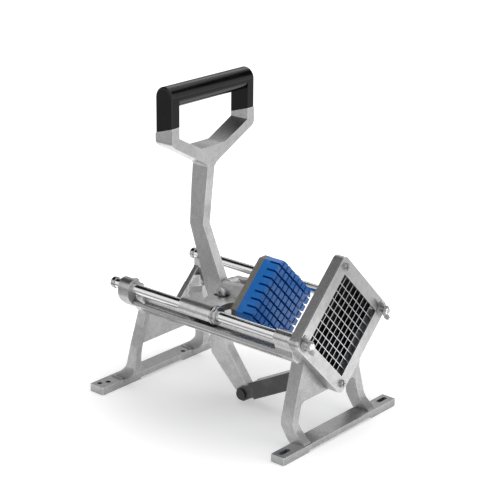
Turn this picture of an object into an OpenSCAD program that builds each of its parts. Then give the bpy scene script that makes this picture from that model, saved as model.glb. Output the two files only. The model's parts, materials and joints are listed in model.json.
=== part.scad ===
// Lever-operated french fry cutter with a diamond blade grid.
// Millimetres. X runs from the handle end to the blade end, Z is up, Z = 0 is the bench.

/* [Cutting grid] */
// clear side of the square opening
opening = 85.7; // [84:0.1:86]
// cells along each side of the opening
cells = 9; // [7:1:9]
// blade thickness
blade_t = 0.7; // [0.5:0.1:1]
// blade depth along the travel
blade_depth = 11; // [8:0.5:11.5]

/* [Frame] */
// height of the rod axes above the bench
axis_z = 131.4; // [130:0.2:133]
// rod radius
rod_r = 6; // [5.6:0.1:6.2]
// distance of each rod from the centre plane
rod_y = 68.8; // [68.4:0.1:69.2]
// length of the front foot
front_foot_len = 206.4; // [200:0.4:212]
// length of the rear foot
rear_foot_len = 205.6; // [200:0.4:212]
// foot thickness
foot_t = 9.4; // [8.6:0.2:10.2]
// length of the front foot slots
slot_len = 17; // [14:1:20]
// width of the front foot slots
slot_w = 6; // [5:0.5:7]
// bolt hole in the rear foot
rear_hole_d = 6; // [5:0.5:6.5]

/* [Pusher] */
// gap between neighbouring fingers
finger_gap = 2.3; // [1.8:0.1:2.8]
// depth of the finger gaps
finger_len = 12.3; // [10:0.1:13]
// thickness of the backing plate
backing_t = 7.5; // [6:0.5:8]

/* [Lever] */
// thickness of the lever casting
lever_t = 12; // [11:0.5:12.5]
// radius of the lever pivot pin
pivot_r = 5; // [4:0.5:5.5]

/* [Hidden] */
// running clearance of shafts in their bores, on the radius
run = 0.06;
slack = 0.2;
$fn = 96;

// stations along X
plate_front = 141;
plate_t = 3;
cast_front = plate_front - plate_t;
cast_t = 10;
cast_back = cast_front - cast_t;
rod_front = 152.6;
rod_rear = -144.7;
boss_rear = -127;
boss_front = -110.5;
block_back = 103.6;
block_front = 127.8;

// blade grid
pitch = opening / cells;
ring_side = 117.4;
ring_r = 7;
corner_d = 69;
grid_side = opening + 6;
blade_front = cast_front - 0.3;
stud_r = 4;

// carriage and pusher
sleeve_r = 10;
sleeve_back = -33;
sleeve_front = 13;
backing_back = 24.5;
block_root = backing_back + backing_t;
tips = 53.3;
pusher_side = 82.5;
pusher_r = 5;
pusher_flat = 107;
pad_t = 5;
bolt_y = 20.4;
bolt_z = 16;

// linkage, in the XZ plane
lever_p = [-20.9, 134];
eye_p = [5, 12];
link_p = [99, 61.5];
eye_r = 9;
eye_pin_r = 4.5;
link_pin_r = 3.5;
cheek_gap = lever_t / 2 + 0.5;
link_t = 20;

// extrude a YZ drawing along X, from x0
module along_x(x0, len) {
    translate([x0, 0, 0]) rotate([90, 0, 90]) linear_extrude(height = len) children();
}

// extrude an XZ drawing along Y, from y0
module along_y(y0, len) {
    translate([0, y0 + len, 0]) rotate([90, 0, 0]) linear_extrude(height = len) children();
}

// the same drawing on the near and the far side
module both_sides() {
    for (s = [0, 1]) mirror([0, s, 0]) children();
}

// cylinder along X
module rod_x(x0, x1, r) {
    translate([x0, 0, 0]) rotate([0, 90, 0]) cylinder(r = r, h = x1 - x0);
}

// cylinder along Y
module pin_y(p, y0, y1, r) {
    translate([p[0], y0, p[1]]) rotate([-90, 0, 0]) cylinder(r = r, h = y1 - y0);
}

// square with round corners
module round_square(side, r) {
    square([side, side - 2 * r], center = true);
    square([side - 2 * r, side], center = true);
    for (x = [-1, 1], y = [-1, 1]) translate([x * (side / 2 - r), y * (side / 2 - r)]) circle(r = r);
}

// the same square standing on a corner, at the height of the rods
module diamond(side, r) {
    translate([0, axis_z]) rotate(45) round_square(side, r);
}

// slotted hole along Y
module slot_y(len, w) {
    square([w, len - w], center = true);
    for (s = [-1, 1]) translate([0, s * (len - w) / 2]) circle(d = w);
}

// ---- front casting ----

// one leg seen from the side
front_leg = [[130.5, 112], [123.4, 61], [124.2, 33], [125, 27], [129, 20.5], [138.5, 12.5], [143, 7.5],
             [143, 4], [123, 4], [116.5, 11], [110.8, 19.5], [108.3, 24], [107.5, 29], [107.5, 61],
             [113.5, 112]];
// the same leg seen from the front: it leans inwards on its way up to the ring
front_lean = [[54, 0], [65, 0], [65, 31], [57, 61], [52.4, 112], [41.4, 112], [46, 61], [54, 31]];
web_low = 50.5;
web_out = 50.5;
web_fillet = 8;
relief = 2.4;

module leaning_leg(side, front, x0) {
    intersection() {
        along_y(30, 50) polygon(side);
        along_x(x0, 70) polygon(front);
    }
}

// web between the legs, with a hollow curve into each leg below its edge
module front_web() {
    difference() {
        polygon([[-web_out - 1, web_low], [web_out + 1, web_low], [46, 112], [-46, 112]]);
        translate([0, axis_z]) rotate(45) square(grid_side, center = true);
    }
    for (s = [0, 1]) mirror([s, 0]) difference() {
        translate([web_out - web_fillet, web_low - web_fillet]) square([web_fillet + 1, web_fillet + 1]);
        translate([web_out - web_fillet, web_low - web_fillet]) circle(r = web_fillet);
    }
}

// the web from the side, flush with the front faces of the legs
web_band = [[123.8, 40], [123.4, 61], [130.5, 112], [123.5, 112], [116.4, 61], [116.8, 40]];

// the lower sides of the ring are deeper, down to the web
module ring_root() {
    intersection() {
        along_x(118, cast_back - 117) diamond(ring_side, ring_r);
        translate([118, -60, 40]) cube([cast_back - 117, 120, 62.5]);
    }
}

module front_frame() color([0.78, 0.78, 0.78]) difference() {
    union() {
        along_x(cast_back, cast_t) diamond(ring_side, ring_r);
        ring_root();
        both_sides() leaning_leg(front_leg, front_lean, 90);
        intersection() {
            along_x(cast_back - 20, 40) front_web();
            along_y(-60, 120) polygon(web_band);
        }
        // foot bar with a relieved middle
        difference() {
            translate([125.3, -front_foot_len / 2, 0]) cube([17.9, front_foot_len, foot_t]);
            translate([120, -58, -1]) cube([30, 116, relief + 1]);
            both_sides() translate([133.5, front_foot_len / 2 - 13.2, -1])
                linear_extrude(height = foot_t + 2) slot_y(slot_len, slot_w);
        }
        link_lug();
    }
    along_x(cast_back - 15, cast_t + 16) diamond(grid_side, 1);
    for (z = [-1, 1]) translate([0, 0, axis_z + z * corner_d]) rod_x(cast_back - 1, cast_front + 1, 2.7);
    both_sides() translate([0, rod_y, axis_z]) rod_x(cast_back - 1, cast_front + 1, stud_r + slack);
}

lug_t = 12;
lug_top = 74.6;

// lug behind the lower corner, for the link
module link_lug() {
    difference() {
        along_y(-lug_t / 2, lug_t) difference() {
            union() {
                translate(link_p) circle(r = 13);
                polygon([[99, 48.5], [122, 57.5], [128.5, 57.5], [128.5, 66], [116, 66], [107, lug_top],
                         [99, lug_top]]);
            }
            translate([80, lug_top]) square([40, 5]);
        }
        along_y(-lug_t, 2 * lug_t) link_slot();
    }
}

// the pin floats in this slot, because the link arcs while the carriage runs straight
module link_slot() {
    translate(link_p + [1, 0]) {
        square([link_pin_r * 2 + 3.4, 9.4], center = true);
        for (s = [-1, 1]) translate([0, s * 4.7]) circle(r = link_pin_r + 1.7);
    }
}

// ---- rear casting ----

rear_leg = [[-119.5, 99], [-114, 60], [-113.9, 27], [-115.5, 21.5], [-119.5, 16], [-125, 12], [-131, 9],
            [-131, 4], [-152, 4], [-152, 10.2], [-146, 11.5], [-137.5, 19], [-133, 23], [-129, 27.5],
            [-127.6, 32], [-127, 99]];
rear_lean = [[55.7, 0], [67, 0], [67, 28], [59.6, 55], [44, 99], [37, 99], [52.5, 56], [55, 45], [55.7, 30]];
rear_web = [[0, 53], [58, 53], [59.6, 55], [44, 99], [53, 102], [58, 130], [52, 124], [50, 107], [0, 107]];

boss_r = 10.8;

// one rear boss with the ear for its clamp bolt
module rear_boss() {
    translate([rod_y, axis_z]) circle(r = boss_r);
    polygon([[rod_y + boss_r, axis_z], [rod_y + boss_r, 123], [77.5, 118], [73.5, 113.5], [66.7, 107.7],
             [59, 103.5], [53, 102], [53, ear_top], [rod_y - 4, ear_top], [rod_y - 4, axis_z]]);
}

ear_top = 133.2;
ear_bolt = [-118.7, 58.7];

module rear_profile() {
    difference() {
        for (s = [0, 1]) mirror([s, 0]) {
            rear_boss();
            polygon(rear_web);
        }
        // V that carries on the lower corner of the opening
        translate([0, axis_z]) rotate(45) square(opening, center = true);
    }
}

module rear_frame() color([0.72, 0.72, 0.72]) difference() {
    union() {
        along_x(boss_rear, 7) rear_profile();
        both_sides() along_x(boss_rear, boss_front - boss_rear) rear_boss();
        both_sides() leaning_leg(rear_leg, rear_lean, -170);
        // pads at the leg roots
        both_sides() translate([-149, 52.5, foot_t]) cube([16, 18, 2.2]);
        difference() {
            translate([-rod_front, -rear_foot_len / 2, 0]) cube([21, rear_foot_len, foot_t + 0.4]);
            translate([-160, -38, -1]) cube([40, 76, relief + 1]);
            for (p = rear_holes) translate([p[0], p[1], -1]) cylinder(d = rear_hole_d, h = foot_t + 3);
        }
    }
    both_sides() translate([0, rod_y, axis_z]) rod_x(boss_rear - 1, boss_front + 1, rod_r + slack);
    both_sides() translate([ear_bolt[0], ear_bolt[1], 112]) cylinder(r = 2.5 + slack, h = 30);
    // seat for the hex head beside the boss
    both_sides() translate([ear_bolt[0], ear_bolt[1], ear_top]) cylinder(r = 5, h = 20);
}

rear_holes = [[-145, -94.7], [-140.2, -85.3], [-145, 94.7], [-140.2, 85.3], [-136.6, 42.6], [-136.6, -42.6]];

// ---- near side rail ----

rail_section = [[-72, 112], [-64, 103.5], [-55, 103.5], [-55, 122.5], [-58.5, 122.5], [-60.5, 115.5],
                [-68.2, 115.5], [-69, 116.5], [-71, 116.5], [-72, 115.6]];
block_section = [[-72, 112], [-64, 103.5], [-55, 103.5], [-55, axis_z], [-76.8, axis_z], [-76.2, 127.5],
                 [-73.4, 122.5], [-72, 118]];

module side_rail() color([0.8, 0.8, 0.8]) difference() {
    union() {
        along_x(boss_front + slack, block_back - boss_front) polygon(rail_section);
        // solid block and rod sleeve at the blade end
        along_x(block_back, block_front - block_back) polygon(block_section);
        translate([0, -rod_y, axis_z]) rod_x(block_back, block_front, 8.2);
        // swept root at the rear boss
        along_y(-68.4, 9) polygon([[boss_front + slack, 115], [boss_front + slack, 123.4], [-106, 119.6],
                                   [-101, 117], [-95, 115.4]]);
    }
    translate([0, -rod_y, axis_z]) rod_x(-130, 130, rod_r + slack);
    along_x(cast_back - 2, 4) diamond(grid_side, 1);
    rail_groove();
}

// shallow groove with round ends, along the slanted underside
module rail_groove() {
    translate([0, -68, 107.75]) rotate([133.2, 0, 0]) translate([0, 0, -1.3]) linear_extrude(height = 4) {
        translate([-98, -3]) square([206, 6]);
        for (x = [-98, 108]) translate([x, 0]) circle(r = 3);
    }
}

// ---- rods and their fasteners ----

cap_front = -137.4;

module guide_rod() {
    translate([0, rod_y, axis_z]) {
        rod_x(cap_front + slack, cast_back - 0.5, rod_r);
        rod_x(cast_back - 0.5, rod_front - 1, stud_r);
        translate([rod_front - 1, 0, 0]) rotate([0, 90, 0]) cylinder(r1 = stud_r, r2 = stud_r - 1, h = 1, $fn = 96);
    }
}

module near_rod() color([0.9, 0.9, 0.9]) mirror([0, 1, 0]) guide_rod();
module far_rod() color([0.9, 0.9, 0.9]) guide_rod();

// turned heads on the rear ends of the rods
module rod_caps() color([0.6, 0.6, 0.6]) both_sides() translate([0, rod_y, axis_z]) {
    rod_x(rod_rear + 1.4, cap_front, 6.8);
    translate([rod_rear, 0, 0]) rotate([0, 90, 0]) cylinder(r1 = 5, r2 = 6.8, h = 1.4, $fn = 96);
}

module clamp_bolts() color([0.5, 0.5, 0.5]) both_sides() translate([ear_bolt[0], ear_bolt[1], 0]) {
    translate([0, 0, 112.5]) cylinder(r = 2.5, h = ear_top - 112.3);
    translate([0, 0, ear_top + 0.1]) linear_extrude(height = 4.7) circle(r = 4.6, $fn = 6);
}

wing_turn = 208;

module wing() {
    along_y(-1.3, 2.6) {
        polygon([[142.6, 3], [148.6, 3], [150.2, 11], [143.8, 12.6]]);
        translate([146.9, 11.5]) circle(r = 3.4);
    }
}

module wing_nut() {
    difference() {
        union() {
            rod_x(plate_front + 0.3, plate_front + 2.2, 6.6);
            rod_x(plate_front + 2.2, plate_front + 8.6, 5.6);
            for (a = [wing_turn, wing_turn - 180]) rotate([a, 0, 0]) wing();
        }
        rod_x(plate_front - 1, plate_front + 10, stud_r + run);
    }
}

module near_wing_nut() color([0.7, 0.7, 0.7]) translate([0, -rod_y, axis_z]) wing_nut();
module far_wing_nut() color([0.7, 0.7, 0.7]) translate([0, rod_y, axis_z]) wing_nut();

// ---- blade cartridge ----

module blade_frame() color([0.82, 0.82, 0.82]) difference() {
    along_x(cast_front, plate_t) diamond(ring_side, ring_r);
    along_x(cast_front - 1, plate_t + 2) translate([0, axis_z]) rotate(45) square(opening, center = true);
    for (z = [-1, 1]) translate([0, 0, axis_z + z * corner_d]) rod_x(cast_front - 1, plate_front + 1, 2.7);
    both_sides() translate([0, rod_y, axis_z]) rod_x(cast_front - 1, plate_front + 1, stud_r + slack);
}

// one strip of the grid, half-slotted where the other set crosses it
module blade(front_slots) {
    difference() {
        translate([blade_front - blade_depth, -grid_side / 2 + 0.1, -blade_t / 2])
            cube([blade_depth, grid_side - 0.2, blade_t]);
        for (i = [1 : cells - 1])
            translate([front_slots ? blade_front - blade_depth / 2 : blade_front - blade_depth - 1,
                       -opening / 2 + i * pitch - blade_t / 2 - 0.05, -blade_t])
                cube([blade_depth / 2 + 1, blade_t + 0.1, 2 * blade_t]);
    }
}

module blade_set(front_slots, turn) {
    for (i = [1 : cells - 1])
        translate([0, 0, axis_z]) rotate([turn, 0, 0])
            translate([0, 0, -opening / 2 + i * pitch]) blade(front_slots);
}

module rising_blades() color([0.75, 0.76, 0.78]) blade_set(true, 45);
module falling_blades() color([0.75, 0.76, 0.78]) blade_set(false, -45);

module frame_screws() color([0.6, 0.6, 0.6]) for (z = [-1, 1]) translate([0, 0, axis_z + z * corner_d]) {
    rod_x(cast_back + 2, plate_front, 2.5);
    difference() {
        rod_x(plate_front, plate_front + 2.8, 4.4);
        translate([plate_front + 1.4, -0.7, -6]) cube([3, 1.4, 12]);
        translate([plate_front + 1.4, -6, -0.7]) cube([3, 12, 1.4]);
    }
}

// ---- carriage ----

// drawing seen from above: arms from the sleeves to the middle
arm_plan = [[-30, 64], [-28, 58], [-27, 50], [-27.6, 43], [-29.6, 36], [-33, 27], [-34, 12], [19.5, 12],
            [19.5, 22], [10, 23], [5.4, 25.4], [2.4, 30], [1.2, 36], [1.2, 42], [2.4, 49], [5.2, 56], [10, 64]];
arm_low = 123.6;
arm_t = 8;

module carriage() color([0.74, 0.75, 0.77]) difference() {
    union() {
        both_sides() translate([0, rod_y, axis_z]) rod_x(sleeve_back, sleeve_front, sleeve_r);
        translate([0, 0, arm_low]) both_sides() linear_extrude(height = arm_t) polygon(arm_plan);
        // cheeks on both sides of the lever
        both_sides() along_y(lever_t / 2 + 0.6, 9) carriage_cheek();
        // pad behind the backing plate
        translate([backing_back - pad_t, -25, axis_z - 22]) cube([pad_t, 50, 44]);
    }
    pin_y(lever_p, -20, 20, pivot_r);
    // seats for the head and the nut of the pivot bolt
    both_sides() pin_y(lever_p, lever_t / 2 + 9.6, 24, 8.4);
    both_sides() translate([0, rod_y, axis_z]) rod_x(sleeve_back - 1, sleeve_front + 1, 8);
    for (z = [-1, 1]) both_sides() translate([0, bolt_y, axis_z + bolt_z * z])
        rod_x(backing_back - 9, backing_back + 1, 2.5 + slack);
}

module carriage_cheek() {
    translate(lever_p) circle(r = 12);
    polygon([[lever_p[0] - 4, lever_p[1] + 11], [lever_p[0] - 9, lever_p[1] - 12], [4, axis_z - 21],
             [backing_back, axis_z - 22], [backing_back, axis_z + 22], [8, axis_z + 17]]);
}

module sleeve_collars() color([0.88, 0.88, 0.9]) both_sides() translate([0, rod_y, axis_z]) difference() {
    union() {
        rod_x(sleeve_front, sleeve_front + 3, 10.8);
        rod_x(sleeve_front + 3, sleeve_front + 4.4, 9.2);
        rod_x(sleeve_front + 4.4, sleeve_front + 7, 10.2);
    }
    rod_x(sleeve_front - 1, sleeve_front + 8, rod_r + 0.35);
}

module sleeve_bushings() color([0.7, 0.55, 0.3]) both_sides() translate([0, rod_y, axis_z]) difference() {
    rod_x(sleeve_back + 1, sleeve_front, 7.95);
    rod_x(sleeve_back, sleeve_front + 1, rod_r + run);
}

module lever_pivot_bolt() color([0.35, 0.35, 0.37]) {
    pin_y(lever_p, -15.7, 15.6, pivot_r - run);
    difference() {
        pin_y(lever_p, -20.7, -15.7, 7);
        along_y(-21, 2.8) translate(lever_p) circle(r = 3, $fn = 6);
    }
}

module lever_pivot_nut() color([0.35, 0.35, 0.37]) along_y(15.7, 5.5) translate(lever_p) circle(r = 7.8, $fn = 6);

module bolt_spots() {
    for (z = [-1, 1]) both_sides() translate([0, bolt_y, axis_z + bolt_z * z]) children();
}

module backing_plate() color([0.55, 0.52, 0.48]) difference() {
    intersection() {
        along_x(backing_back, backing_t) diamond(pusher_side + 1, pusher_r + 3);
        along_x(backing_back, backing_t) translate([0, axis_z]) round_square(pusher_flat, 3);
    }
    bolt_spots() rod_x(backing_back - 1, block_root + 1, 2.5 + slack);
}

module pusher_block() color([0.08, 0.35, 0.72]) difference() {
    intersection() {
        along_x(block_root, tips - block_root) diamond(pusher_side, pusher_r);
        along_x(block_root, tips - block_root) translate([0, axis_z]) square(pusher_flat, center = true);
    }
    for (t = [45, -45]) translate([0, 0, axis_z]) rotate([t, 0, 0])
        for (i = [1 : cells - 1])
            translate([tips - finger_len, -opening, -opening / 2 + i * pitch - finger_gap / 2])
                cube([finger_len + 1, 2 * opening, finger_gap]);
    bolt_spots() rod_x(block_root - 1, block_root + 6.2, 2.5 + slack);
}

module pusher_bolts() color([0.4, 0.4, 0.42]) bolt_spots() {
    rod_x(backing_back - pad_t, block_root + 6, 2.5);
    translate([backing_back - pad_t - 4, 0, 0]) rotate([90, 0, 90]) linear_extrude(height = 4)
        circle(r = 4.2, $fn = 6);
}

// ---- lever ----

lever_side = [[-53, 290], [-53, 274], [-57, 236], [-60, 205], [-48, 178], [-30, 137], [-26.5, 110],
              [-26, 74], [-22, 62], [11.5, 18.3], [-1.4, 5.7], [-30, 33], [-46, 49], [-48.5, 60],
              [-51.5, 114], [-70, 172], [-80.5, 203], [-78, 250], [-76, 274], [-76, 290]];

// handle: middle of the bar, its radius, and the slanted seam of the grip at its front and back
grip_mid = [-61, 366.4];
grip_r = 12.6;
grip_edge = 2.5;
seam_front = 333.4;
seam_back = 325.6;
fork_out = 70;
fork_in = 58;

// the fork seen from the front, half
fork_half = [[0, 276], [6, 276], [8, 279], [12, 281.6], [65.5, 310.6], [68.4, 312.8], [69.7, 315.4],
             [fork_out, 318], [fork_out, 346], [fork_in, 346], [fork_in, 320.5], [20, 300.7], [0, 300.7]];

module fork_solid() {
    intersection() {
        both_sides() along_x(-90, 60) polygon(fork_half);
        along_y(-80, 160) polygon([[-53, 262], [-50, 300], [grip_mid[0] + grip_r, 316],
            [grip_mid[0] + grip_r, seam_front], [grip_mid[0] - grip_r, seam_back],
            [grip_mid[0] - grip_r, 316], [-74.5, 300], [-76, 274]]);
    }
}

module lever_arm() color([0.76, 0.76, 0.76]) difference() {
    union() {
        along_y(-lever_t / 2, lever_t) polygon(lever_side);
        pin_y(eye_p, -lever_t / 2, lever_t / 2, eye_r);
        pin_y(lever_p, -lever_t / 2, lever_t / 2, 13);
        fork_solid();
    }
    pin_y(lever_p, -20, 20, pivot_r);
    pin_y(eye_p, -20, 20, eye_pin_r + run);
}

// moulded handle loop over the fork ends, its end faces with a rounded rim
module grip_arm_plan() {
    translate([-grip_r, fork_in]) square([2 * grip_r, fork_out - fork_in - grip_edge]);
    translate([-grip_r + grip_edge, fork_in]) square([2 * (grip_r - grip_edge), fork_out - fork_in]);
    for (s = [-1, 1]) translate([s * (grip_r - grip_edge), fork_out - grip_edge]) circle(r = grip_edge);
}

module grip_bar_half() {
    square([grip_r, fork_out - grip_edge]);
    square([grip_r - grip_edge, fork_out]);
    translate([grip_r - grip_edge, fork_out - grip_edge]) circle(r = grip_edge);
}

module grip() color([0.06, 0.06, 0.07]) difference() {
    union() {
        both_sides() translate([grip_mid[0], 0, seam_back - 5]) linear_extrude(height = grip_mid[1] - seam_back + 5)
            grip_arm_plan();
        both_sides() translate([grip_mid[0], 0, grip_mid[1]]) rotate([-90, 0, 0]) rotate_extrude() grip_bar_half();
    }
    along_y(-80, 160) translate([grip_mid[0], 0]) polygon([[-20, 300], [20, 300],
        [20, seam_front + slack + 7.4 * (seam_front - seam_back) / (2 * grip_r)],
        [-20, seam_back + slack - 7.4 * (seam_front - seam_back) / (2 * grip_r)]]);
}

// ---- link ----

link_dir = atan2(link_p[1] - eye_p[1], link_p[0] - eye_p[0]);
link_len = norm(link_p - eye_p);

module link_drawing() {
    translate(eye_p) rotate(link_dir) {
        translate([15, -link_t / 2]) square([link_len - 15 - 6, link_t]);
        translate([0, -7.6]) square([17, 15.2]);
        translate([link_len, 0]) circle(r = 9);
        translate([link_len - 12, -9]) square([12, 18]);
    }
    translate(eye_p) circle(r = 8.6);
}

module link() color([0.22, 0.22, 0.23]) difference() {
    union() {
        both_sides() along_y(cheek_gap, 4) link_drawing();
        along_y(-cheek_gap - 1, 2 * cheek_gap + 2) translate(eye_p) rotate(link_dir)
            translate([20, -link_t / 2]) square([link_len - 42, link_t]);
    }
    pin_y(eye_p, -30, 30, eye_pin_r);
    pin_y(link_p, -30, 30, link_pin_r);
}

module eye_pin() color([0.3, 0.3, 0.32]) {
    pin_y(eye_p, -cheek_gap - 4.2, cheek_gap + 5.4, eye_pin_r - 0.02);
    pin_y(eye_p, -cheek_gap - 7, -cheek_gap - 4.2, 6.6);
}

module link_front_pin() color([0.3, 0.3, 0.32]) {
    pin_y(link_p, -cheek_gap - 4.2, cheek_gap + 5.4, link_pin_r - 0.02);
    pin_y(link_p, -cheek_gap - 6.4, -cheek_gap - 4.2, 5.6);
}

module pin_rings() color([0.2, 0.2, 0.22]) {
    difference() {
        pin_y(eye_p, cheek_gap + 4.1, cheek_gap + 5.1, 7);
        pin_y(eye_p, 0, 20, eye_pin_r);
    }
    difference() {
        pin_y(link_p, cheek_gap + 4.1, cheek_gap + 5.1, 6);
        pin_y(link_p, 0, 20, link_pin_r);
    }
}

front_frame();
rear_frame();
side_rail();
near_rod();
far_rod();
rod_caps();
clamp_bolts();
near_wing_nut();
far_wing_nut();
blade_frame();
rising_blades();
falling_blades();
frame_screws();
carriage();
sleeve_collars();
sleeve_bushings();
lever_pivot_bolt();
lever_pivot_nut();
backing_plate();
pusher_block();
pusher_bolts();
lever_arm();
grip();
link();
eye_pin();
link_front_pin();
pin_rings();
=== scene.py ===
import json
import math

import bmesh
import bpy
from mathutils import Matrix, Vector

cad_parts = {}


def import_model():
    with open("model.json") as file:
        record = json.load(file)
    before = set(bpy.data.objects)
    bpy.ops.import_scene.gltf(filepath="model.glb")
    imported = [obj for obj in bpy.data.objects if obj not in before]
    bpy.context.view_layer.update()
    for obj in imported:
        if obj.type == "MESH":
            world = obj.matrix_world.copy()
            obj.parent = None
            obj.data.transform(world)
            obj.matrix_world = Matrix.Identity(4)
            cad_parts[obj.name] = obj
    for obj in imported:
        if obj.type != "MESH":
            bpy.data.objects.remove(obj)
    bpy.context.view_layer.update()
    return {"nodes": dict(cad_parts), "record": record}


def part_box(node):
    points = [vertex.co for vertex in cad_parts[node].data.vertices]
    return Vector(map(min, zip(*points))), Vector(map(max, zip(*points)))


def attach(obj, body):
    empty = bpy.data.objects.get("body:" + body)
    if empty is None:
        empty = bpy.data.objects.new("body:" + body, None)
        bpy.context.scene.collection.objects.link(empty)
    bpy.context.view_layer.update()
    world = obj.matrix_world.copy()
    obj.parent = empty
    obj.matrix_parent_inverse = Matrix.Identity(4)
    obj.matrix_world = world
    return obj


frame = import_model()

NODES = frame["nodes"]
MM = 0.001
FRAME_BODY = "frame"


# ---------------------------------------------------------------- shader expressions

# a colour Mix node's sockets go by place, because its sockets for numbers have the same names
MIX_MASK = 0
MIX_FIRST = 6
MIX_SECOND = 7
MIX_RESULT = 2
# rays that each ambient occlusion node sends
SHELTER_RAYS = 4


class Sock:
    """One output socket of a node tree, with arithmetic on it."""

    def __init__(self, tree, socket):
        self.tree = tree
        self.socket = socket

    def _math(self, operation, *values):
        return self.tree.add("ShaderNodeMath", {"operation": operation}, dict(enumerate(values))).out(0)

    def __add__(self, other):
        return self._math("ADD", self, other)

    def __sub__(self, other):
        return self._math("SUBTRACT", self, other)

    def __rsub__(self, other):
        return self._math("SUBTRACT", other, self)

    def __mul__(self, other):
        return self._math("MULTIPLY", self, other)

    def __gt__(self, other):
        return self._math("GREATER_THAN", self, other)

    def __lt__(self, other):
        return self._math("LESS_THAN", self, other)

    __radd__ = __add__
    __rmul__ = __mul__

    def high(self, other):
        return self._math("MAXIMUM", self, other)

    def smooth(self, start, end):
        """0 below start, 1 above end, with a soft step between them."""
        node = self.tree.add("ShaderNodeMapRange", {"interpolation_type": "SMOOTHSTEP"},
                             {"Value": self, "From Min": start, "From Max": end})
        return node.out("Result")


class Made:
    """A node that a tree has made."""

    def __init__(self, tree, node):
        self.tree = tree
        self.node = node

    def out(self, name):
        return Sock(self.tree, self.node.outputs[name])


class Tree:
    """Builds the node tree of a material or a world."""

    def __init__(self, owner):
        owner.use_nodes = True
        self.nodes = owner.node_tree.nodes
        self.links = owner.node_tree.links
        self.nodes.clear()

    def add(self, kind, settings=None, sockets=None):
        """A node of this kind: its settings come first, then the values or links of its sockets."""
        node = self.nodes.new(kind)
        for name, value in (settings or {}).items():
            setattr(node, name, value)
        for name, value in (sockets or {}).items():
            socket = node.inputs[name]
            if isinstance(value, Sock):
                self.links.new(value.socket, socket)
            elif isinstance(value, tuple) and socket.type == "RGBA":
                socket.default_value = value + (1.0,)
            else:
                socket.default_value = value
        return Made(self, node)

    def place(self):
        """The point on the object, in the row frame at rest."""
        return self.add("ShaderNodeTexCoord").out("Object")

    def axis(self, name):
        """One coordinate of the point on the object."""
        return self.add("ShaderNodeSeparateXYZ", None, {"Vector": self.place()}).out(name)

    def stretched(self, scale):
        """The point on the object with each axis scaled, for a pattern that runs along one of them."""
        return self.add("ShaderNodeMapping", None, {"Vector": self.place(), "Scale": scale}).out("Vector")

    def noise(self, scale, detail, roughness, vector=None):
        """A cloudy pattern from 0 to 1, with scale in patches per metre."""
        made = self.add("ShaderNodeTexNoise", None, {
            "Vector": vector or self.place(), "Scale": scale, "Detail": detail, "Roughness": roughness})
        return made.out("Fac")

    def blend(self, mask, first, second):
        """Colour first where mask is 0, second where it is 1."""
        sockets = {MIX_MASK: mask, MIX_FIRST: first, MIX_SECOND: second}
        return self.add("ShaderNodeMix", {"data_type": "RGBA"}, sockets).out(MIX_RESULT)

    def edge(self, reach):
        """1 on outer edges, 0 on flats."""
        settings = {"inside": True, "only_local": True, "samples": SHELTER_RAYS}
        return 1.0 - self.add("ShaderNodeAmbientOcclusion", settings, {"Distance": reach}).out("AO")

    def crevice(self, reach):
        """1 deep in corners and gaps, 0 in the open."""
        settings = {"samples": SHELTER_RAYS}
        return 1.0 - self.add("ShaderNodeAmbientOcclusion", settings, {"Distance": reach}).out("AO")

    def bump(self, height, distance, strength):
        """A normal tilted by a pattern of heights, with distance in metres."""
        sockets = {"Height": height, "Distance": distance, "Strength": strength}
        return self.add("ShaderNodeBump", None, sockets).out("Normal")

    def seen(self):
        """1 for what the camera, gloss or clear things see, 0 for the light that falls on the object."""
        path = self.add("ShaderNodeLightPath")
        return path.out("Is Camera Ray").high(path.out("Is Glossy Ray")).high(path.out("Is Transmission Ray"))


def finish(name, paint):
    """A material whose Principled sockets come from paint(tree)."""
    material = bpy.data.materials.new(name)
    tree = Tree(material)
    shader = tree.add("ShaderNodeBsdfPrincipled", None, paint(tree))
    tree.add("ShaderNodeOutputMaterial", None, {"Surface": shader.out("BSDF")})
    return material


# ---------------------------------------------------------------- finishes

NO_TINT = (1.0, 1.0, 1.0)
WARM_TINT = (1.0, 0.95, 0.86)
# how far from a corner the painted shade reaches, and from an edge the rubbing and painted highlight
CREVICE_REACH = 28 * MM
EDGE_REACH = 2 * MM
# bump heights
CASTING_GRAIN = 0.24 * MM
ROD_GRAIN = 0.04 * MM
BLADE_GRAIN = 0.05 * MM
STEEL_GRAIN = 0.08 * MM
PEEL_GRAIN = 0.06 * MM
# depth of the blades' bright front edge
GROUND_EDGE = 0.4 * MM


def cast_aluminium(base=0.47, rough=0.25, grain=1.0, metal=0.94, tint=NO_TINT, corner_shade=0.85):
    """Tumbled and buffed casting: cloudy tone, fine pits, edges lighter as rubbed wear and painted highlight,
    and painted shade in corners and gaps.
    """
    def shade(factor):
        return tuple(min(1.0, base * factor * channel) for channel in tint)

    def paint(t):
        cloud = t.noise(26.0, 5.0, 0.6)
        mottle = t.noise(140.0, 4.0, 0.6)
        fine = t.noise(520.0, 5.0, 0.8)
        tone = (cloud * 0.55 + mottle * 0.45).smooth(0.36, 0.64)
        pitted = fine.smooth(0.50, 0.64) * 0.70 * grain
        # painted shade: ambient occlusion darkens corners, gaps and faces near the floor
        painted_corner_shade = t.crevice(CREVICE_REACH).smooth(0.25, 0.85) * corner_shade
        # edge mask: partly rubbed wear, partly painted highlight
        rubbing_and_highlight = t.edge(EDGE_REACH).smooth(0.24, 0.58)
        colour = t.blend(tone, shade(0.88), shade(1.10))
        colour = t.blend(pitted, colour, shade(0.60))
        # corners and gaps darkened as painted shade
        colour = t.blend(painted_corner_shade, colour, shade(0.30))
        # edges lightened: partly rubbed wear, partly painted highlight
        colour = t.blend(rubbing_and_highlight * 0.8, colour, shade(1.60))
        return {"Base Color": colour, "Metallic": metal,
                "Roughness": rough + (1.0 - tone) * 0.07 + fine * 0.08 - rubbing_and_highlight * 0.12,
                "Normal": t.bump(fine * 0.8 + mottle * 0.4, CASTING_GRAIN * grain, 0.7)}
    return paint


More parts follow.
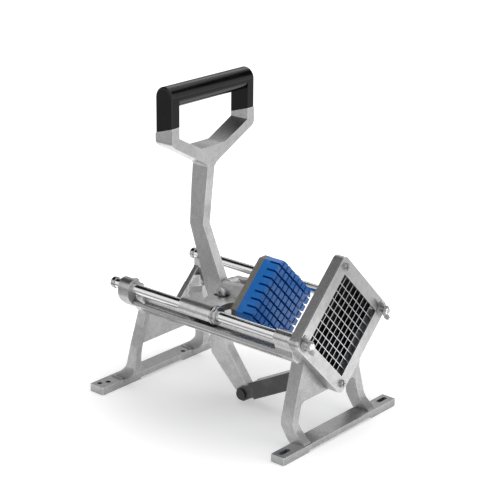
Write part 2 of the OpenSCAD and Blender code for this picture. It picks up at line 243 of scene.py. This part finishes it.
def polished_rod(t):
    """Drawn and polished rod, with faint streaks along it."""
    along_rod = t.stretched((0.05, 1.0, 1.0))
    streak = t.noise(240.0, 3.0, 0.6, along_rod)
    smear = t.noise(30.0, 3.0, 0.5)
    return {"Base Color": (0.76, 0.76, 0.765), "Metallic": 1.0,
            "Roughness": 0.12 + smear * 0.08 + streak * 0.03,
            "Normal": t.bump(streak, ROD_GRAIN, 0.4)}


def cutting_blade(t):
    """Blade strip: sides painted near black as shade inside the grid's cells, and a steel-bright ground edge
    to the front.
    """
    highest_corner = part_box("rising_blades")[1]
    ground = t.axis("X") > highest_corner.x - GROUND_EDGE
    fine = t.noise(700.0, 3.0, 0.6)
    cloud = t.noise(60.0, 3.0, 0.55)
    # painted shade: the blade sides are near black, standing in for the shade inside the cells
    side = t.blend(cloud.smooth(0.4, 0.7), (0.035, 0.035, 0.037), (0.14, 0.14, 0.145))
    return {"Base Color": t.blend(ground, side, (0.78, 0.78, 0.79)), "Metallic": 0.95,
            "Roughness": 0.22 + fine * 0.14, "Normal": t.bump(fine, BLADE_GRAIN, 0.4)}


def steel(base, rough):
    """Turned or pressed steel with a slightly cloudy tone."""
    def paint(t):
        fine = t.noise(700.0, 3.0, 0.6)
        cloud = t.noise(90.0, 4.0, 0.6)
        darker = (base * 0.8,) * 3
        lighter = (base * 1.1,) * 3
        return {"Base Color": t.blend(cloud.smooth(0.35, 0.65), darker, lighter), "Metallic": 1.0,
                "Roughness": rough + fine * 0.12, "Normal": t.bump(fine, STEEL_GRAIN, 0.5)}
    return paint


def coated(colour, lift, rough, coat=0.0, peel_scale=600.0, gloss=0.5):
    """Paint or moulded plastic with a faint orange peel."""
    def paint(t):
        peel = t.noise(peel_scale, 3.0, 0.6)
        cloud = t.noise(45.0, 4.0, 0.6)
        lighter = tuple(min(1.0, channel + lift) for channel in colour)
        return {"Base Color": t.blend(cloud.smooth(0.4, 0.7), colour, lighter),
                "Roughness": rough + peel * 0.08 + cloud * 0.05, "Coat Weight": coat,
                "Coat Roughness": 0.12, "Specular IOR Level": gloss, "Normal": t.bump(peel, PEEL_GRAIN, 0.4)}
    return paint


PAINTS = {
    "cast_aluminium": cast_aluminium(),
    "plate_aluminium": cast_aluminium(base=0.54, grain=0.6),
    "carriage_aluminium": cast_aluminium(base=0.64, rough=0.24, grain=0.8),
    "lever_aluminium": cast_aluminium(base=0.56, rough=0.24),
    "rail_aluminium": cast_aluminium(base=0.60, rough=0.17, grain=0.5, metal=0.97, corner_shade=0.25),
    "collar_steel": steel(0.50, 0.16),
    "backing_metal": cast_aluminium(base=0.25, rough=0.45, metal=0.5, tint=WARM_TINT),
    "rod_chrome": polished_rod,
    "cap_steel": steel(0.45, 0.16),
    "bolt_steel": steel(0.45, 0.24),
    "nut_steel": steel(0.40, 0.26),
    "blade_steel": cutting_blade,
    "bronze": steel(0.5, 0.3),
    "pin_black": coated((0.012, 0.012, 0.013), 0.01, 0.3, coat=0.3),
    "link_dark": coated((0.07, 0.07, 0.072), 0.05, 0.34, coat=0.2),
    "grip_black": coated((0.002, 0.002, 0.0024), 0.002, 0.12, peel_scale=300.0, gloss=0.34),
    "blue_plastic": coated((0.008, 0.18, 0.62), 0.03, 0.26, coat=0.25),
}
FINISH = {name: finish(name, paint) for name, paint in PAINTS.items()}

# the record's slot of each node, with a finish of its own for a few
SLOTS = {row["node"]: row["material_slot"] for row in frame["record"]["subparts"]}
SLOTS.update({"side_rail": "rail_aluminium", "lever_pivot_bolt": "carriage_aluminium",
              "lever_pivot_nut": "carriage_aluminium", "sleeve_collars": "collar_steel"})


# ---------------------------------------------------------------- CAD nodes

# width in mm of the round on each node's sharp edges; the others stay sharp
EDGE_ROUND = {"front_frame": 1.2, "rear_frame": 1.2, "side_rail": 0.8, "blade_frame": 0.5, "carriage": 1.2,
              "lever_arm": 1.6, "backing_plate": 0.8, "pusher_block": 0.35, "link": 0.8,
              "sleeve_collars": 0.5, "near_wing_nut": 0.7, "far_wing_nut": 0.7, "frame_screws": 0.4,
              "grip": 2.0, "lever_pivot_bolt": 0.4, "lever_pivot_nut": 0.4, "eye_pin": 0.6,
              "link_front_pin": 0.4, "clamp_bolts": 0.4, "rod_caps": 0.6}
ROUND_STEPS = 3
# points closer than this are joined, and faces that meet at less than this are one flat
WELD_GAP = 0.005 * MM
FLAT_ANGLE = math.radians(0.4)
# an edge that turns by more than this is sharp
SHARP_ANGLE = math.radians(32)
# how strongly large faces keep their own normals
FLAT_WEIGHT = 60


def smooth_shading():
    """A small modifier tree that marks every face as smooth."""
    group = bpy.data.node_groups.new("smooth_faces", "GeometryNodeTree")
    for direction in ("INPUT", "OUTPUT"):
        group.interface.new_socket("Geometry", in_out=direction, socket_type="NodeSocketGeometry")
    start = group.nodes.new("NodeGroupInput")
    shade = group.nodes.new("GeometryNodeSetShadeSmooth")
    end = group.nodes.new("NodeGroupOutput")
    group.links.new(start.outputs[0], shade.inputs["Geometry"])
    group.links.new(shade.outputs["Geometry"], end.inputs[0])
    return group


def round_edges(node, width, group):
    """Joins the flats, rounds the sharp edges and keeps the flats flat in shade."""
    weld = node.modifiers.new("weld", "WELD")
    weld.merge_threshold = WELD_GAP
    flats = node.modifiers.new("flats", "DECIMATE")
    flats.decimate_type = "DISSOLVE"
    flats.angle_limit = FLAT_ANGLE
    shade = node.modifiers.new("smooth", "NODES")
    shade.node_group = group
    bevel = node.modifiers.new("round", "BEVEL")
    bevel.width = width * MM
    bevel.segments = ROUND_STEPS
    bevel.limit_method = "ANGLE"
    bevel.angle_limit = SHARP_ANGLE
    bevel.use_clamp_overlap = True
    normals = node.modifiers.new("normals", "WEIGHTED_NORMAL")
    normals.mode = "FACE_AREA_WITH_ANGLE"
    normals.weight = FLAT_WEIGHT


def dress_cad():
    """Each CAD node gets its finish, and a small round on its sharp edges."""
    group = smooth_shading()
    for name, node in NODES.items():
        material = FINISH[SLOTS[name]]
        if not node.material_slots:
            node.data.materials.append(material)
        for slot in node.material_slots:
            slot.material = material
        if name in EDGE_ROUND:
            round_edges(node, EDGE_ROUND[name], group)


# ---------------------------------------------------------------- castings filled out, in mm

def casting_piece(name, rings, rounding):
    """A closed skin through rings of equally many points, rounded on its edges, on the frame body."""
    build = bmesh.new()
    loops = [[build.verts.new(Vector(point) * MM) for point in ring] for ring in rings]
    for low, high in zip(loops, loops[1:]):
        for k in range(len(low)):
            after = (k + 1) % len(low)
            build.faces.new((low[k], low[after], high[after], high[k]))
    build.faces.new(loops[0])
    build.faces.new(loops[-1])
    bmesh.ops.recalc_face_normals(build, faces=build.faces)
    mesh = bpy.data.meshes.new(name)
    build.to_mesh(mesh)
    build.free()
    mesh.materials.append(FINISH["cast_aluminium"])
    obj = bpy.data.objects.new(name, mesh)
    bpy.context.scene.collection.objects.link(obj)
    bevel = obj.modifiers.new("round", "BEVEL")
    bevel.width = rounding * MM
    bevel.segments = ROUND_STEPS
    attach(obj, FRAME_BODY)


# the rear web's corner beside the V, as a Y-Z outline between two X planes
WEB_BACK = -126.9
WEB_FRONT = -120.1
WEB_CORNER = ((35.6, 106.2), (56.5, 127.1), (58.0, 125.0), (53.0, 112.0), (51.5, 104.0), (37.0, 104.0))

# the rear casting's upper leg: height, back x, front x, inner y at the back, how far the inner face
# slopes out to the front, and outer y
UPPER_LEG = ((30.0, -126.9, -114.3, 56.5, 0.0, 66.2),
             (40.0, -126.0, -113.0, 55.6, 0.5, 64.9),
             (55.0, -123.6, -111.5, 52.0, 3.0, 63.6),
             (80.0, -120.4, -108.0, 38.0, 12.0, 58.4),
             (95.0, -120.4, -107.2, 31.5, 14.0, 53.2),
             (102.6, -120.4, -107.8, 33.0, 14.0, 54.0),
             (104.0, -120.4, -110.7, 34.0, 12.0, 54.5),
             (114.0, -120.6, -116.0, 44.0, 7.0, 57.0))

# the ledge behind the middle of the front foot, as a plan, and its bottom and top heights
LEDGE = ((126.4, -57.5), (122.4, -55.0), (120.3, -50.0), (120.3, 50.0), (122.4, 55.0), (126.4, 57.5))
LEDGE_LOW = 2.6
LEDGE_TOP = 9.3


def web_corner(place, side):
    """The V's edge runs on straight up to the boss."""
    rings = [[(x, side * y, z) for y, z in WEB_CORNER] for x in (WEB_BACK, WEB_FRONT)]
    casting_piece(place + "_web_corner", rings, rounding=0.6)


def upper_leg(place, side):
    """The leg fills the casting out to the boss."""
    rings = []
    for height, back, front, inner, slope, outer in UPPER_LEG:
        corners = ((back, inner), (front, inner + slope), (front, outer), (back, outer))
        rings.append([(x, side * y, height) for x, y in corners])
    casting_piece(place + "_upper_leg", rings, rounding=1.0)


def front_foot_ledge():
    """The foot is deeper between the front legs than at its ends."""
    rings = [[(x, y, z) for x, y in LEDGE] for z in (LEDGE_LOW, LEDGE_TOP)]
    casting_piece("front_foot_ledge", rings, rounding=0.8)


dress_cad()
for side, place in ((-1, "near"), (1, "far")):
    web_corner(place, side)
    upper_leg(place, side)
front_foot_ledge()


# ---------------------------------------------------------------- stage

WHITE = (1.0, 1.0, 1.0)
FLOOR_COLOUR = (0.80, 0.80, 0.80)
FLOOR_HALF = 6.0
FLOOR_DROP = 0.2 * MM
# what the floor shows above its lit colour by the object, and what is added over a step of distances
FLOOR_GLOW = 0.37
FLOOR_GLOW_FAR = 0.5
FLOOR_STEP = (0.10, 0.32)
# the world's brightness as a light
WORLD_FILL = 0.40


def sheet(name, width, depth):
    """A flat rectangle of the set around the origin, with a material of its own name."""
    mesh = bpy.data.meshes.new(name)
    w = width / 2
    d = depth / 2
    mesh.from_pydata([(-w, -d, 0), (w, -d, 0), (w, d, 0), (-w, d, 0)], [], [(0, 1, 2, 3)])
    obj = bpy.data.objects.new(name, mesh)
    bpy.context.scene.collection.objects.link(obj)
    mesh.materials.append(bpy.data.materials.new(name))
    return obj


def floor():
    """A plain pale floor that keeps the object's shadow and runs to white away from it."""
    obj = sheet("floor", 2 * FLOOR_HALF, 2 * FLOOR_HALF)
    obj.location.z = -FLOOR_DROP
    t = Tree(obj.data.materials[0])
    distance = t.add("ShaderNodeVectorMath", {"operation": "LENGTH"}, {0: t.place()}).out("Value")
    strength = t.seen() * (FLOOR_GLOW + distance.smooth(*FLOOR_STEP) * FLOOR_GLOW_FAR)
    matt = t.add("ShaderNodeBsdfDiffuse", None, {"Color": FLOOR_COLOUR})
    glow = t.add("ShaderNodeEmission", None, {"Color": WHITE, "Strength": strength})
    both = t.add("ShaderNodeAddShader", None, {0: matt.out("BSDF"), 1: glow.out("Emission")})
    t.add("ShaderNodeOutputMaterial", None, {"Surface": both.out("Shader")})


def aim(obj, centre, target, front):
    """Puts obj at centre, with its front axis towards target."""
    obj.location = centre
    obj.rotation_euler = (Vector(target) - Vector(centre)).to_track_quat(front, "Y").to_euler()


def card(name, centre, target, width, height, shade):
    """A flat card beside the set, seen only in reflections."""
    obj = sheet(name, width, height)
    aim(obj, centre, target, "Z")
    obj.visible_camera = False
    obj.visible_shadow = False
    obj.visible_diffuse = False
    t = Tree(obj.data.materials[0])
    glow = t.add("ShaderNodeEmission", None, {"Color": (shade, shade, shade), "Strength": 1.0})
    t.add("ShaderNodeOutputMaterial", None, {"Surface": glow.out("Emission")})


def softbox(name, centre, target, width, height, power):
    """A rectangular studio lamp."""
    light = bpy.data.lights.new(name, "AREA")
    light.shape = "RECTANGLE"
    light.size = width
    light.size_y = height
    light.energy = power
    obj = bpy.data.objects.new(name, light)
    bpy.context.scene.collection.objects.link(obj)
    aim(obj, centre, target, "-Z")


def world():
    """White to the camera and to gloss, and a plain fill light on the object."""
    scene = bpy.context.scene
    scene.world = bpy.data.worlds.new("studio")
    t = Tree(scene.world)
    seen = t.seen()
    background = t.add("ShaderNodeBackground", None,
                       {"Color": WHITE, "Strength": seen + (1.0 - seen) * WORLD_FILL})
    t.add("ShaderNodeOutputWorld", None, {"Surface": background.out("Background")})
    scene.view_settings.view_transform = "Standard"


# the photograph's viewpoint, in degrees, metres and mm of lens
CAMERA_TURN = math.radians(40.07)
CAMERA_RISE = math.radians(19.30)
CAMERA_ROLL = math.radians(-0.59)
CAMERA_PLACE = Vector((1.1104, -1.3189, 0.7946))
LENS = 117.155
SENSOR = 36.0
FAR_CLIP = 50.0


def camera():
    """Looks at the object as the photograph does."""
    data = bpy.data.cameras.new("camera")
    data.sensor_width = SENSOR
    data.lens = LENS
    data.clip_end = FAR_CLIP
    obj = bpy.data.objects.new("camera", data)
    bpy.context.scene.collection.objects.link(obj)
    level = Vector((math.cos(CAMERA_TURN), math.sin(CAMERA_TURN), 0.0))
    back = Vector((math.sin(CAMERA_TURN) * math.cos(CAMERA_RISE),
                   -math.cos(CAMERA_TURN) * math.cos(CAMERA_RISE), math.sin(CAMERA_RISE)))
    upright = back.cross(level)
    right = level * math.cos(CAMERA_ROLL) - upright * math.sin(CAMERA_ROLL)
    up = level * math.sin(CAMERA_ROLL) + upright * math.cos(CAMERA_ROLL)
    axes = Matrix((right, up, back)).transposed()
    obj.matrix_world = Matrix.Translation(CAMERA_PLACE) @ axes.to_4x4()
    bpy.context.scene.camera = obj


floor()
world()
camera()
# each lamp and card: name, centre, the point it faces, width, height, then watts or brightness
softbox("top_light", (0.3, 0.2, 1.9), (0.0, 0.0, 0.1), 1.6, 1.6, 12.0)
softbox("key_light", (2.2, 0.3, 1.0), (0.0, 0.0, 0.15), 1.4, 1.4, 10.0)
card("upper_flag", (-1.25, 0.0, 1.45), (0.0, 0.0, 0.16), 1.9, 1.6, 0.01)
card("strip_light", (-0.72, 1.45, 1.35), (0.0, 0.0, 0.20), 1.5, 0.30, 2.2)
card("far_flag", (0.50, 1.60, 1.25), (0.0, 0.0, 0.30), 1.3, 1.0, 0.01)
card("ceiling_card", (0.0, 0.0, 2.4), (0.0, 0.0, 0.0), 3.6, 3.6, 0.40)
card("floor_card", (-0.75, -0.95, 0.004), (-0.75, -0.95, 1.0), 1.9, 1.5, 0.44)
card("far_floor_card", (0.95, 0.95, 0.004), (0.95, 0.95, 1.0), 1.4, 1.4, 0.74)
card("back_card", (-0.95, 1.15, 0.55), (0.0, 0.0, 0.13), 2.4, 1.1, 0.45)
